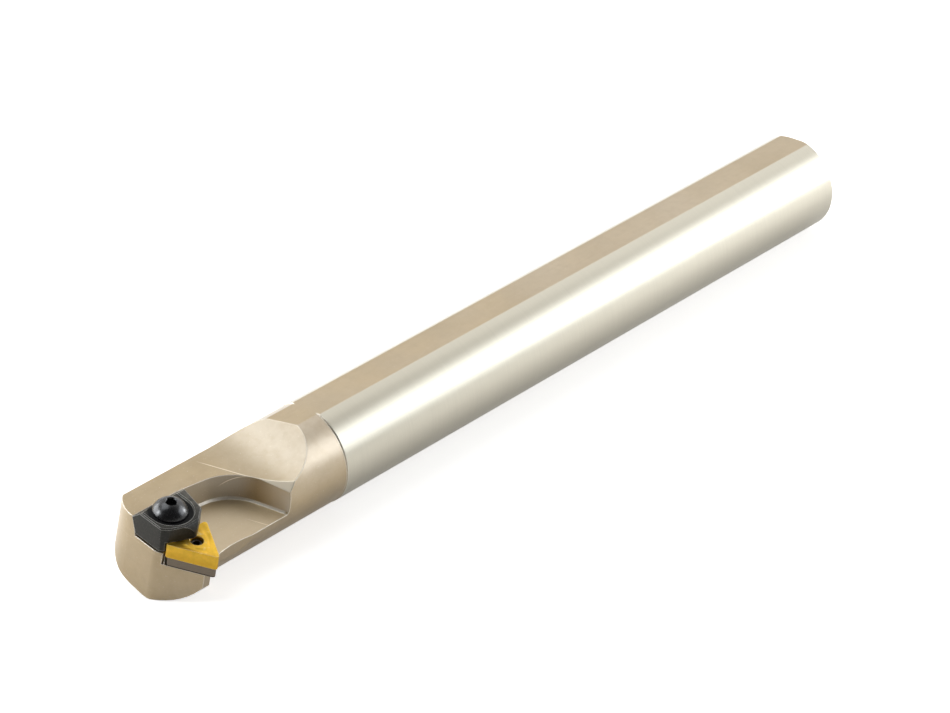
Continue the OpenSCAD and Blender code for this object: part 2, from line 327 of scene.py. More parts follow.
# Rings in each turn of the thread, and over the dome
TURN_RINGS, DOME_RINGS = 12, 26


# Surfaces

def cad(name):
    """The CAD piece of a name, or an error that says it is missing."""
    if name not in frame["nodes"]:
        raise RuntimeError(f"The frame has no piece named {name}")
    return frame["nodes"][name]


def points_of(name):
    """The points of a CAD piece, one row each."""
    mesh = cad(name).data
    co = np.zeros(len(mesh.vertices) * 3, np.float32)
    mesh.vertices.foreach_get("co", co)
    return co.reshape(-1, 3).astype(float)


def in_head_frame(name):
    """The points of a CAD piece as x, across and out of the seat."""
    points = points_of(name)
    return np.stack([points[:, 0], points @ V, points @ U], axis=1)


def ring_grid(name, rows):
    """Closed surface from rings of points, rows of shape (rings, points, 3): each quad joins two neighbouring
    points of one ring to the same two of the next, and a ring drawn together to one point is a pole."""
    rings, points = rows.shape[:2]
    here = np.arange(rings * points).reshape(rings, points)
    ahead = np.roll(here, -1, axis=1)
    quads = np.stack([here[:-1], ahead[:-1], ahead[1:], here[1:]], axis=-1).reshape(-1, 4)
    mesh = bpy.data.meshes.new(name)
    mesh.from_pydata(rows.reshape(-1, 3).tolist(), [], quads.tolist())
    made = bmesh.new()
    made.from_mesh(mesh)
    bmesh.ops.remove_doubles(made, verts=made.verts, dist=JOIN)
    bmesh.ops.recalc_face_normals(made, faces=made.faces)
    closed = all(edge.is_manifold for edge in made.edges)
    made.to_mesh(mesh)
    made.free()
    if not closed:
        raise RuntimeError(f"The surface of {name} is open")
    mesh.polygons.foreach_set("use_smooth", np.ones(len(mesh.polygons), bool))
    mesh.set_sharp_from_angle(angle=math.radians(SHARP))
    piece = bpy.data.objects.new(name, mesh)
    bpy.context.scene.collection.objects.link(piece)
    return piece


def polygon_radius(angle, sides, inradius, corner, first=0.0):
    """Distance from the centre of a regular polygon with round corners to its outline, along each angle. Near a
    corner it is the far crossing with the corner's circle, elsewhere the side's distance over the cosine of the
    angle from the side's normal."""
    half = math.pi / sides
    off = (angle - first + half) % (2 * half) - half
    centre = (inradius - corner) / math.cos(half)
    meet = np.arctan2(corner * math.sin(half), centre + corner * math.cos(half))
    inside = np.maximum(corner**2 - (centre * np.sin(off)) ** 2, 0)
    arc = centre * np.cos(off) + np.sqrt(inside)
    side = inradius / np.cos(half - np.abs(off))
    return np.where(np.abs(off) < meet, arc, side)


def placed(radius, height, angle, centre):
    """Points at a radius and an angle about an axis along U through the centre, raised by a height."""
    return (
        centre
        + (radius * np.cos(angle))[..., None] * np.array((1.0, 0.0, 0.0))
        + (radius * np.sin(angle))[..., None] * V
        + height[..., None] * U
    )


def smooth_step(t):
    """Cubic ease from 0 to 1."""
    t = np.clip(t, 0, 1)
    return t * t * (3 - 2 * t)


def corner_angles(sides, first, meet, on_corner, on_side):
    """Angles round a polygon, close together on its round corners and wider apart along its sides."""
    half = math.pi / sides
    corner = np.linspace(-meet, meet, on_corner, endpoint=False)
    side = np.linspace(meet, 2 * half - meet, on_side, endpoint=False)
    one = np.concatenate([corner, side])
    return (first + one[None, :] + 2 * half * np.arange(sides)[:, None]).ravel()


def insert_rings(shape, centre, bottom, top):
    """Rings of the insert, from the mouth of its hole out over the upper face, down the side, back under the lower
    face and up the hole. The groove follows the sides: its floor is a half wave between the land and the plateau."""
    inradius, corner = shape.circle / 2, shape.corner
    first, third = math.pi / 2, 2 * math.pi / 3
    meet = math.atan2(corner * math.sin(third / 2), 2 * (inradius - corner) + corner / 2)
    angle = corner_angles(3, first, meet * CORNER_REACH, CORNER_POINTS, SIDE_POINTS)
    from_corner = (angle - first + third / 2) % third - third / 2
    dip = PLATEAU_DIP * np.exp(-((from_corner / DIP_ANGLE) ** 2))
    ripple = 0.5 + 0.5 * np.cos(RIPPLES * (angle - first))
    hole = np.full_like(angle, shape.hole / 2)

    def level(height):
        """The same height all round."""
        return np.full_like(angle, height)

    def outline(inset):
        """Radius of the insert's outline, moved inward."""
        return polygon_radius(angle, 3, inradius - inset, max(corner - inset, LEAST_CORNER), first)

    plateau = polygon_radius(angle, 3, inradius - LAND - shape.groove_width, PLATEAU_CORNER, first) - dip
    plateau = np.maximum(plateau, hole + PLATEAU_MARGIN)
    edge = outline(LAND)
    face = [(hole, level(MOUTH_DEPTH)), (hole + MOUTH_WIDTH, level(0)), (plateau * WITHIN, level(0))]
    for t in np.linspace(0, 1, GROOVE_RINGS):
        wave = np.sin(math.pi * t**GROOVE_LEAN) ** GROOVE_ROUND
        depth = shape.groove_depth * wave * (1 - RIPPLE_SHARE * (1 - ripple)) + LAND_DROP * t
        face.append((plateau + (edge - plateau) * t, depth))
    face.append((outline(HONE), level(HONE_DROP)))

    side = [bottom + (top - bottom) * share for share in SIDE_RINGS]
    rings = [(radius, top - depth) for radius, depth in face]
    rings += [(outline(0), level(height)) for height in (top - HONE, *side, bottom + HONE)]
    rings += [(radius, bottom + depth) for radius, depth in face[::-1]]
    rings.append(rings[0])
    return np.stack([placed(radius, height, angle, centre) for radius, height in rings])


def dome(shape):
    """Radius of the ball that the button head's dome is cut from, and the height of its middle over the seat."""
    cap = shape.head_height - shape.rim
    ball = ((shape.head_diameter / 2) ** 2 + cap**2) / (2 * cap)
    return ball, shape.head_height - ball


def screw_rings(shape, foot, head_seat, neck):
    """Rings of the screw about its axis, from the socket's floor up over the dome and down the shank. The thread is
    a helix: the depth at a point is a wave of its height over the pitch less its angle in turns."""
    angle = np.linspace(0, 2 * math.pi, shape.sides, endpoint=False)
    hexagon = polygon_radius(angle, 6, shape.socket / 2, SOCKET_CORNER, math.pi / 6)
    head, shank = shape.head_diameter / 2, shape.diameter / 2
    ball, middle = dome(shape)
    mouth = shape.socket / 2 / math.cos(math.pi / 6) + SOCKET_LIP
    first, last = math.asin(mouth / ball), math.asin(head / ball)
    top = middle + ball * math.cos(first)
    floor = shape.head_height - SOCKET_DEPTH
    neck_top, neck_bottom = neck

    rings = [
        (0, floor - SOCKET_CONE),
        (hexagon * WITHIN, floor),
        (hexagon, floor + SOCKET_ROOT),
        (hexagon, top - LIP_STEPS[0]),
        ((hexagon + mouth) / 2, top - LIP_STEPS[1]),
    ]
    leans = np.linspace(first, last, DOME_RINGS)
    rings += [(ball * math.sin(lean), middle + ball * math.cos(lean)) for lean in leans]
    rings += [
        (head, HEAD_CHAMFER),
        (head - HEAD_CHAMFER, 0),
        (shank + HEAD_FILLET, 0),
        (shank, -HEAD_FILLET),
        (shank, neck_top + NECK_CHAMFER),
        (shank - NECK_CHAMFER, neck_top),
        (shank - NECK_DEPTH, neck_top),
        (shank - NECK_DEPTH, neck_bottom),
        (shank - NECK_DEPTH + 2 * NECK_CHAMFER, neck_bottom),
    ]
    for height in np.arange(neck_bottom - NECK_CHAMFER, THREAD_START - shape.length, -shape.pitch / TURN_RINGS):
        phase = (height / shape.pitch - angle / (2 * math.pi)) % 1
        wave = np.clip(np.abs(2 * phase - 1) * (1 + 2 * THREAD_FLAT) - THREAD_FLAT, 0, 1)
        fade = smooth_step((neck_bottom - height) / THREAD_START) * smooth_step((height + shape.length) / THREAD_END)
        rings.append((shank - THREAD_DEPTH * shape.pitch * (1 - wave * fade), height))
    rings += [(shank - TIP_DEPTH, -shape.length), (0, -shape.length)]

    def all_round(value):
        """A value, or one for each angle, as one for each angle."""
        return np.broadcast_to(value, angle.shape)

    return np.stack([placed(all_round(out), all_round(up + head_seat), angle, foot) for out, up in rings])


# Looks

# Patterns of noise: scale, detail and roughness, and the scale along each axis where it isn't the same
PATTERNS = {
    "wheel_rings": (1.0, 4.0, 0.7, (5200.0, 26.0, 26.0)),
    "drag_marks": (1.0, 3.0, 0.6, (60.0, 900.0, 900.0)),
    "bar_cloud": (55.0, 4.0, 0.55),
    "bar_grain": (5200.0, 2.0, 0.6),
    "bar_pale": (26.0, 3.0, 0.5),
    "bar_brown": (330.0, 4.0, 0.6),
    "bar_patches": (75.0, 3.0, 0.5),
    "bar_flecks": (2600.0, 1.0, 0.5),
    "insert_cloud": (420.0, 4.0, 0.6),
    "insert_grain": (9000.0, 2.0, 0.6),
    "insert_glint": (480.0, 3.0, 0.5),
    "insert_gloss": (1500.0, 3.0, 0.55),
    "shim_lines": (1.0, 3.0, 0.6, (400.0, 400.0, 9000.0)),
    "black_cloud": (700.0, 4.0, 0.6),
    "black_grain": (7000.0, 2.0, 0.6),
    "black_dust": (2100.0, 5.0, 0.7),
    "screw_cloud": (900.0, 3.0, 0.6),
    "floor_cloud": (40.0, 3.0, 0.5),
}

# What a pattern is used for: two of its values, and what they become. A colour is made that much darker or lighter
RANGES = {
    "ground_colour": (0.35, 0.65, 0.96, 1.03),
    "matte_colour": (0.35, 0.65, 0.94, 1.05),
    "insert_colour": (0.3, 0.7, 0.88, 1.10),
    "shim_colour": (0.3, 0.7, 0.85, 1.15),
    "black_colour": (0.3, 0.7, 0.7, 1.4),
    "floor_colour": (0.0, 1.0, 0.99, 1.01),
    "ground_roughness": (0.3, 0.7, 0.34, 0.41),
    "matte_roughness": (0.7, 1.3, 0.44, 0.54),
    "insert_roughness": (0.3, 0.7, 0.44, 0.58),
    "shim_roughness": (0.3, 0.7, 0.36, 0.46),
    "wedge_roughness": (0.3, 0.7, 0.36, 0.50),
    "pin_roughness": (0.3, 0.7, 0.30, 0.42),
    "screw_roughness": (0.3, 0.7, 0.23, 0.29),
    "bar_pale": (0.4, 0.7, 0.0, 0.3),
    "bar_brown": (0.42, 0.72, 0.0, 0.32),
    "bar_patches": (0.38, 0.58, 0.1, 0.6),
    "bar_flecks": (0.70, 0.76, 0.0, 0.5),
    "insert_glint": (0.58, 0.72, 0.0, 0.55),
    "black_dust": (0.5, 0.75, 0.0, 0.20),
    "nose_dust": (0.30, 0.60, 0.1, 0.5),
    "black_wear": (0.25, 0.60, 0.45, 1.0),
    "screw_wear": (0.2, 0.7, 0.3, 0.8),
}

# Places on the pieces, in millimetres: x from the rear end, y and z across the bar, level along U, radius from the
# bar's axis, from_screw from the screw's axis, from_bevel from the plane of the bevel over the notch's wall. Two
# numbers say where a share starts and where it is full, four also where it starts to fall and where it is gone
PLACES = {
    "runout": {"x": (266.0, 248.0), "z": (-2.0, 8.0)},
    "milled": {"x": (262.0, 270.0), "level": (7.05, 7.15, 7.3, 7.8)},
    "notch_foot_highlight": {"x": (255.0, 256.0, 284.5, 285.5), "y": (-4.0, -3.0, 14.2, 14.8), "level": (0.02, 0.06, 0.55, 0.6)},
    "notch_wall_shade": {"x": (285.5, 284.5), "y": (-6.0, -4.0), "level": (0.6, 0.65, 7.1, 7.18), "radius": (15.6, 15.4)},
    "wall_rear_light": {"y": (6.0, 11.0)},
    "wall_bevel": {"x": (268.0, 266.0), "radius": (15.8, 15.6), "from_bevel": (0.08, 0.04)},
    "notch_floor": {"level": (-0.1, -0.05, 0.02, 0.04), "radius": (15.6, 15.4)},
    "insert_low_shade": {"level": (3.4, 1.8)},
    "insert_top": {"level": (4.9, 5.0)},
    "shim_foot": {"level": (-2.25, -2.4)},
    "shim_top": {"level": (0.42, 0.52)},
    "wedge_nose": {"x": (287.5, 283.0)},
    "wedge_recess": {"level": (10.22, 10.15), "from_screw": (6.8, 6.3)},
}
# The plane of the bevel over the notch's wall: its normal, and its distance from the origin in metres
BEVEL_NORMAL = (0.528534, 0.458938, 0.714162)
BEVEL_DISTANCE = 0.144136

# Colours laid over a piece's own at worn, dusty and paler places and as painted light and shade, and how strongly
# each covers
TINTS = {
    # Paler patches, and a painted highlight on the upper run-out
    "paler_and_highlight": ((0.60, 0.52, 0.41), 1.0),
    "browned": ((0.40, 0.29, 0.15), 1.0),
    # Painted shade on the notch's wall, painted light on its rear part and on the notch's floor, and painted
    # highlights along the wall's foot and bevel
    "notch_wall_shade": ((0.41, 0.35, 0.27), 0.6),
    "wall_rear_light": ((0.80, 0.72, 0.60), 0.6),
    "notch_foot_highlight": ((0.97, 0.90, 0.78), 0.7),
    "wall_bevel": ((1.0, 0.88, 0.68), 1.0),
    "notch_floor": ((0.66, 0.53, 0.34), 0.4),
    "flecks": ((0.74, 0.68, 0.58), 1.0),
    # Painted highlights along the bar's edges
    "steel_edge_highlight": ((0.97, 0.92, 0.82), 0.85),
    # Painted shade low on the insert's side, painted glints on its top and painted highlights along its edges
    "insert_low_shade": ((0.66, 0.37, 0.03), 0.4),
    "insert_glint": ((1.0, 0.85, 0.45), 1.0),
    "insert_edge_highlight": ((1.0, 0.85, 0.50), 0.7),
    # Painted shade where the shim meets the body and the insert
    "shim_seam_shade": ((0.012, 0.010, 0.008), 1.0),
    "dust": ((0.19, 0.175, 0.145), 1.0),
    "wedge_edge": ((0.62, 0.60, 0.55), 0.85),
    "pin_edge": ((0.62, 0.60, 0.55), 0.4),
    # Painted shade in the wedge's recess round the screw
    "recess": ((0.004, 0.004, 0.004), 1.0),
    "screw_edge": ((0.30, 0.29, 0.28), 0.4),
}
SCREW_BLACK = (0.005, 0.005, 0.006)
WHITE = (1.0, 1.0, 1.0)

# Radius that edges look rounded to, in metres, and how far a normal turns from the rounded one, as one less the
# cosine, before a point counts as edge and before it is all edge
ROUNDING = {"insert": 0.00022, "shim": 0.00012, "black": 0.00036, "screw": 0.00015}
EDGE_TURN = {"bar": (0.004, 0.06), "insert": (0.004, 0.06), "black": (0.012, 0.06), "screw": (0.02, 0.3)}
BEVEL_SAMPLES = 6

# Strength and height in metres of the relief on each piece
RELIEF = {"bar": (0.10, 0.00004), "insert": (0.12, 0.00003), "shim": (0.12, 0.00003), "black": (0.10, 0.00003)}

# Half the width of the line where the ground part ends, and how far under its height a flat starts and is full
GROUND_LINE = 0.00002
FLAT_START, FLAT_FULL = 0.00006, 0.00003
# Shares of the painted highlight at the run-out, of the ground part's rings in the relief, and of the painted shade
# along the shim's upper edge, and what the painted shade in the wedge's recess adds to the roughness
RUNOUT_SHARE, RINGS_SHARE, SEAM_SHARE = 0.7, 0.35, 0.6
RECESS_ROUGHNESS = 0.3


# Materials

def rgba(colour, factor=1.0):
    """A colour with its alpha, made lighter or darker by a factor."""
    return (colour[0] * factor, colour[1] * factor, colour[2] * factor, 1.0)


class Nodes:
    """A node tree, with short calls that add a node and join it up."""

    def __init__(self, tree):
        self.tree = tree

    def node(self, kind, inputs=None, **settings):
        """Add a node, with its settings and its inputs."""
        made = self.tree.nodes.new(kind)
        for key, value in settings.items():
            setattr(made, key, value)
        for key, value in (inputs or {}).items():
            self.feed(made.inputs[key], value)
        return made

    def feed(self, socket, value):
        """Join a socket to another one, or set it to a plain value."""
        if isinstance(value, bpy.types.NodeSocket):
            self.tree.links.new(value, socket)
        else:
            socket.default_value = value

    def math(self, operation, first, second=0.0, clamp=False):
        """One step of arithmetic."""
        made = self.node("ShaderNodeMath", {0: first, 1: second}, operation=operation, use_clamp=clamp)
        return made.outputs[0]

    def product(self, *factors):
        """All factors multiplied."""
        total = factors[0]
        for factor in factors[1:]:
            total = self.math("MULTIPLY", total, factor)
        return total

    def vector(self, operation, *inputs):
        """One step of arithmetic on vectors."""
        return self.node("ShaderNodeVectorMath", dict(enumerate(inputs)), operation=operation)

    def spread(self, value, low, high, to_low=0.0, to_high=1.0):
        """A value moved from one range to another, and held at the ends."""
        made = self.node("ShaderNodeMapRange", {0: value, 1: low, 2: high, 3: to_low, 4: to_high})
        return made.outputs[0]

    def between(self, value, start, full, fall=None, gone=None):
        """A share that rises from start to full, and falls again from fall to gone if they are given."""
        share = self.spread(value, start, full)
        return share if fall is None else self.product(share, self.spread(value, gone, fall))

    def ranged(self, name, value):
        """A pattern's value turned into what it is used for."""
        return self.spread(value, *RANGES[name])

    def shades(self, name, value, colour):
        """A colour made darker or lighter by a pattern's value."""
        low, high, dark, light = RANGES[name]
        return self.mix(self.spread(value, low, high), rgba(colour, dark), rgba(colour, light))

    def blend(self, factor, first, second):
        """One value turned into another by a factor."""
        return self.node("ShaderNodeMix", {0: factor, 2: first, 3: second}, data_type="FLOAT").outputs[0]

    def mix(self, factor, first, second):
        """One colour turned into another by a factor."""
        made = self.node("ShaderNodeMix", data_type="RGBA")
        self.feed(made.inputs[0], factor)
        self.feed(made.inputs[6], first)
        self.feed(made.inputs[7], second)
        return made.outputs[2]

    def layers(self, colour, *over):
        """A colour with tints laid over it, each by its share."""
        for share, name in over:
            tint, strength = TINTS[name]
            colour = self.mix(self.product(share, strength), colour, rgba(tint))
        return colour

    def toward(self, vector, direction):
        """How far a vector goes in a direction."""
        return self.vector("DOT_PRODUCT", vector, direction).outputs["Value"]

    def from_axis(self, vector, direction):
        """How far a vector's end is from the axis along a direction."""
        across = self.vector("CROSS_PRODUCT", vector, direction).outputs[0]
        return self.vector("LENGTH", across).outputs["Value"]

    def seen(self, mirrored):
        """One for camera rays, and the mirrored share for glossy and transmission rays, so that metal shows the
        same background."""
        path = self.node("ShaderNodeLightPath").outputs
        through = self.math("ADD", path["Is Glossy Ray"], path["Is Transmission Ray"], True)
        return self.math("ADD", path["Is Camera Ray"], self.math("MULTIPLY", through, mirrored), True)


class Finish(Nodes):
    """A material with its shader and the place of each point on it."""

    def __init__(self, name):
        self.material = bpy.data.materials.new(name)
        self.material.use_nodes = True
        super().__init__(self.material.node_tree)
        self.shader = self.tree.nodes["Principled BSDF"]
        self.place = self.node("ShaderNodeTexCoord").outputs["Object"]
        self.measures = {}

    def measure(self, name):
        """One of the measures that the table of places uses, made at its first use."""
        if name not in self.measures:
            self.measures[name] = self.new_measure(name)
        return self.measures[name]

    def new_measure(self, name):
        """Nodes that measure each point's place."""
        if name == "level":
            return self.toward(self.place, U)
        if name == "radius":
            return self.from_axis(self.place, (1.0, 0.0, 0.0))
        if name == "from_screw":
            return self.from_axis(self.vector("SUBTRACT", self.place, SCREW_FOOT).outputs[0], U)
        if name == "from_bevel":
            return self.math("ABSOLUTE", self.math("SUBTRACT", self.toward(self.place, BEVEL_NORMAL), BEVEL_DISTANCE))
        return self.node("ShaderNodeSeparateXYZ", {0: self.place}).outputs[name.upper()]

    def where(self, name):
        """Share of a place at each point."""
        ranges = PLACES[name].items()
        return self.product(*(self.between(self.measure(key), *(end * MM for end in ends)) for key, ends in ranges))

    def pattern(self, name):
        """Noise over the surface, about 0.5 in the middle."""
        scale, detail, roughness, *axes = PATTERNS[name]
        place = self.vector("MULTIPLY", self.place, *axes).outputs[0] if axes else self.place
        inputs = {"Vector": place, "Scale": scale, "Detail": detail, "Roughness": roughness}
        return self.node("ShaderNodeTexNoise", inputs).outputs["Fac"]

    def edges(self, radius):
        """Normal of the surface with its edges rounded to a radius."""
        return self.node("ShaderNodeBevel", {"Radius": radius}, samples=BEVEL_SAMPLES).outputs[0]

    def edge_share(self, piece, rounded):
        """How near an edge a point is: one less the cosine between its normal and the rounded one."""
        flat = self.node("ShaderNodeNewGeometry").outputs["Normal"]
        return self.spread(self.math("SUBTRACT", 1.0, self.toward(flat, rounded)), *EDGE_TURN[piece])

    def relief(self, piece, height, normal):
        """Normal of the surface raised by a pattern."""
        strength, distance = RELIEF[piece]
        inputs = {"Height": height, "Strength": strength, "Distance": distance, "Normal": normal}
        return self.node("ShaderNodeBump", inputs).outputs[0]

    def principled(self, **values):
        """Feed the shader's sockets, named with an underscore for each space."""
        for key, value in values.items():
            self.feed(self.shader.inputs[key.replace("_", " ")], value)

    def cover(self, piece):
        """Make this the piece's only material."""
        piece.data.materials.clear()
        piece.data.materials.append(self.material)


def matte_layers(f, settings, cloud, flat):
    """Champagne of the flats and the head: cloudy, browner and paler in places, with a painted highlight on the upper
    run-out, greyer painted shade on the notch's wall, painted light on its rear part and on the notch's floor, and
    painted highlights along the wall's foot and bevel."""
    wall = f.where("notch_wall_shade")
    # Painted highlight on the upper run-out, left off the flats
    paler_and_highlight = f.product(f.where("runout"), RUNOUT_SHARE, f.math("SUBTRACT", 1.0, flat))
    paler = f.ranged("bar_pale", f.pattern("bar_pale"))
    patches = f.ranged("bar_patches", f.pattern("bar_patches"))
    return f.layers(
        f.shades("matte_colour", cloud, settings.matte_colour),
        (f.math("MAXIMUM", paler, paler_and_highlight), "paler_and_highlight"),
        (f.ranged("bar_brown", f.pattern("bar_brown")), "browned"),
        (f.product(f.where("milled"), patches), "browned"),
        # Painted shade on the notch's wall, painted light on its rear part and on the floor, painted highlights at its
        # foot and bevel
        (wall, "notch_wall_shade"),
        (f.product(wall, f.where("wall_rear_light")), "wall_rear_light"),
        (f.where("notch_foot_highlight"), "notch_foot_highlight"),
        (f.where("wall_bevel"), "wall_bevel"),
        (f.where("notch_floor"), "notch_floor"),
        (f.ranged("bar_flecks", f.pattern("bar_flecks")), "flecks"),
    )


def bar_steel(settings):
    """Ground round behind the ring, with fine rings left by the wheel, and matte flats and head, with painted
    highlights along the edges.
    """
    f = Finish("bar_steel")
    ahead = f.spread(f.measure("x"), settings.ground_from - GROUND_LINE, settings.ground_from + GROUND_LINE)
    height = f.math("ABSOLUTE", f.measure("z"))
    flat = f.spread(height, settings.flat_height - FLAT_START, settings.flat_height - FLAT_FULL)
    matte = f.math("MAXIMUM", ahead, flat)
    rings = f.pattern("wheel_rings")
    cloud = f.pattern("bar_cloud")
    rounded = f.edges(settings.edge_radius)
    ground = f.shades("ground_colour", rings, settings.ground_colour)
    colour = f.mix(matte, ground, matte_layers(f, settings, cloud, flat))
    rough_ground = f.ranged("ground_roughness", rings)
    rough_matte = f.ranged("matte_roughness", f.math("ADD", cloud, f.pattern("drag_marks")))
    raised = f.blend(matte, f.product(rings, RINGS_SHARE), f.pattern("bar_grain"))
    f.principled(
        # Painted highlights along the edges
        Base_Color=f.layers(colour, (f.edge_share("bar", rounded), "steel_edge_highlight")),
        Metallic=1.0,
        Roughness=f.blend(matte, rough_ground, rough_matte),
        Normal=f.relief("bar", raised, rounded),
        Coat_Weight=1.0,
        Coat_Roughness=0.30,
        Coat_IOR=1.75,
    )
    return f


def golden_coating(settings):
    """Coated carbide: golden, with painted shade low on the side, painted glints on top and painted highlights along
    the edges.
    """
    f = Finish("golden_coating")
    rounded = f.edges(ROUNDING["insert"])
    glint = f.ranged("insert_glint", f.pattern("insert_glint"))
    f.principled(
        Base_Color=f.layers(
            f.shades("insert_colour", f.pattern("insert_cloud"), settings.colour),
            # Painted shade low on the side, painted glints on top and painted highlights along the edges
            (f.where("insert_low_shade"), "insert_low_shade"),
            (f.product(f.where("insert_top"), glint), "insert_glint"),
            (f.edge_share("insert", rounded), "insert_edge_highlight"),
        ),
        Metallic=1.0,
        Roughness=f.ranged("insert_roughness", f.pattern("insert_gloss")),
        Normal=f.relief("insert", f.pattern("insert_grain"), rounded),
    )
    return f


def ground_shim(settings):
    """Dark ground carbide with fine lines of the wheel, and painted shade along its foot and its top, where it meets
    the body and the insert.
    """
    f = Finish("ground_shim")
    lines = f.pattern("shim_lines")
    # Painted shade where the shim meets the body and the insert
    seam_shade = f.math("MAXIMUM", f.where("shim_foot"), f.product(f.where("shim_top"), SEAM_SHARE))
    f.principled(
        Base_Color=f.layers(f.shades("shim_colour", lines, settings.shim_colour), (seam_shade, "shim_seam_shade")),
        Metallic=1.0,
        Roughness=f.ranged("shim_roughness", lines),
        Normal=f.relief("shim", lines, f.edges(ROUNDING["shim"])),
    )
    return f


def black_oxide(name, settings, kind):
    """Blackened steel of the wedge's kind or the pin's: dark and a little cloudy, dusty, lighter in clouds on the
    wedge's nose, worn lighter along its edges, and with painted shade, black and rougher, in the recess round the
    screw."""
    f = Finish(name)
    cloud = f.pattern("black_cloud")
    rounded = f.edges(ROUNDING["black"])
    dust = f.ranged("black_dust", f.pattern("black_dust"))
    nose = f.product(f.where("wedge_nose"), f.ranged("nose_dust", cloud))
    worn = f.product(f.edge_share("black", rounded), f.ranged("black_wear", cloud))
    # Painted shade in the recess round the screw, which is also made rougher
    recess = f.where("wedge_recess")
    roughness = f.ranged(f"{kind}_roughness", cloud)
    f.principled(
        Base_Color=f.layers(
            f.shades("black_colour", cloud, settings.black),
            (f.math("MAXIMUM", dust, nose), "dust"),
            (worn, f"{kind}_edge"),
            (recess, "recess"),
        ),
        Metallic=0.0,
        Roughness=f.math("ADD", roughness, f.product(recess, RECESS_ROUGHNESS)),
        Normal=f.relief("black", f.pattern("black_grain"), rounded),
        Specular_IOR_Level=0.30,
    )
    return f


def polished_black():
    """Polished and blackened steel of the screw, worn lighter along its edges."""
    f = Finish("polished_black")
    cloud = f.pattern("screw_cloud")
    rounded = f.edges(ROUNDING["screw"])
    worn = f.product(f.edge_share("screw", rounded), f.ranged("screw_wear", cloud))
    f.principled(
        Base_Color=f.layers(rgba(SCREW_BLACK), (worn, "screw_edge")),
        Metallic=0.0,
        Roughness=f.ranged("screw_roughness", cloud),
        Normal=rounded,
        Specular_IOR_Level=0.85,
    )
    return f


# Stage

# Each lamp's place, the point it faces, its width and height, its power and its colour
LAMPS = {
    "softbox_side": ((-0.76, 0.80, 0.46), (0.15, 0.0, 0.0), (1.1, 0.80), 7.2, (0.88, 0.93, 1.0)),
    "softbox_low": ((-0.80, 0.50, 0.17), (0.29, 0.0, 0.0), (0.30, 0.24), 2.2, (0.95, 0.97, 1.0)),
    "softbox_top": ((0.50, -0.34, 1.16), (0.22, 0.0, 0.0), (0.9, 0.8), 4.8, (0.90, 0.95, 1.0)),
    "softbox_left": ((0.80, -1.00, 0.44), (0.27, 0.0, 0.0), (1.3, 0.6), 9.6, (0.95, 0.97, 1.0)),
    "softbox_front": ((1.15, -0.60, 0.58), (0.25, 0.0, 0.0), (0.38, 0.38), 3.8, (0.92, 0.96, 1.0)),
    "softbox_rear": ((-0.80, -0.06, 1.08), (0.10, 0.0, 0.0), (0.7, 0.7), 0.65, (0.95, 0.97, 1.0)),
}

# The floor reaches this far each way and lies this far under the bar. Its slope is taken from the points of the bar
# up to one distance from the rear end, and from those past another
FLOOR_REACH, FLOOR_GAP = 4.0, 0.00005
REAR_END, FRONT_FROM = 0.002, 0.1
# Its glow, which in what metal mirrors is weaker beside the bar, as a painted shadow of it, and falls off along a
# direction, as painted shade toward the head and the camera's side: two distances, and the share at each
GLOW = 0.70
GLOW_BESIDE = (0.015, 0.052, 0.28, 1.0)
GLOW_DIRECTION = (1.0, 1.5, 0.0)
GLOW_FALLS = ((0.10, 0.26, 1.0, 0.65), (0.29, 0.37, 1.0, 0.1))

# The room's colour, the cosines to the camera's side between which it brightens, the power of that and its least
# strength, and the cosines between which the white backdrop starts
ROOM_COLOUR = (1.0, 0.97, 0.92)
ROOM_RISE, ROOM_POWER, ROOM_LEAST = (0.55, -0.70), 1.6, 0.06
BACKDROP = (-0.25, -0.60)

# The camera's sensor in millimetres, and the nearest and farthest points that it sees
SENSOR_WIDTH = 36.0
CLIP = (0.01, 20.0)


def lay_floor(studio):
    """A flat sheet under the head and the rear end, which are the two places that the bar lies on: its slope is
    the least at which every point of the bar is above the sheet."""
    points = points_of("bar")
    x, z = points[:, 0], points[:, 2]
    rear = z[x < REAR_END].min()
    front = x > FRONT_FROM
    slope = ((rear - z[front]) / x[front]).max()
    corners = [(a * FLOOR_REACH, b * FLOOR_REACH) for a, b in ((-1, -1), (1, -1), (1, 1), (-1, 1))]
    mesh = bpy.data.meshes.new("floor")
    mesh.from_pydata([(a, b, rear - slope * a - FLOOR_GAP) for a, b in corners], [], [(0, 1, 2, 3)])
    floor = bpy.data.objects.new("floor", mesh)
    bpy.context.scene.collection.objects.link(floor)
    f = Finish("floor_paper")
    colour = f.shades("floor_colour", f.pattern("floor_cloud"), studio.floor_colour)
    f.principled(Base_Color=colour, Roughness=0.9, Specular_IOR_Level=0.1)
    # What metal mirrors of the glow is weaker beside the bar and toward the head: painted shadow and shade
    beside = f.spread(f.math("ABSOLUTE", f.measure("y")), *GLOW_BESIDE)
    onward = f.toward(f.place, GLOW_DIRECTION)
    glowing = f.seen(f.product(beside, *(f.spread(onward, *fall) for fall in GLOW_FALLS)))
    glow = f.node("ShaderNodeEmission", {"Color": rgba(WHITE), "Strength": f.product(glowing, GLOW)})
    both = f.node("ShaderNodeAddShader", {0: f.shader.outputs[0], 1: glow.outputs[0]})
    f.feed(f.tree.nodes["Material Output"].inputs["Surface"], both.outputs[0])
    f.cover(floor)


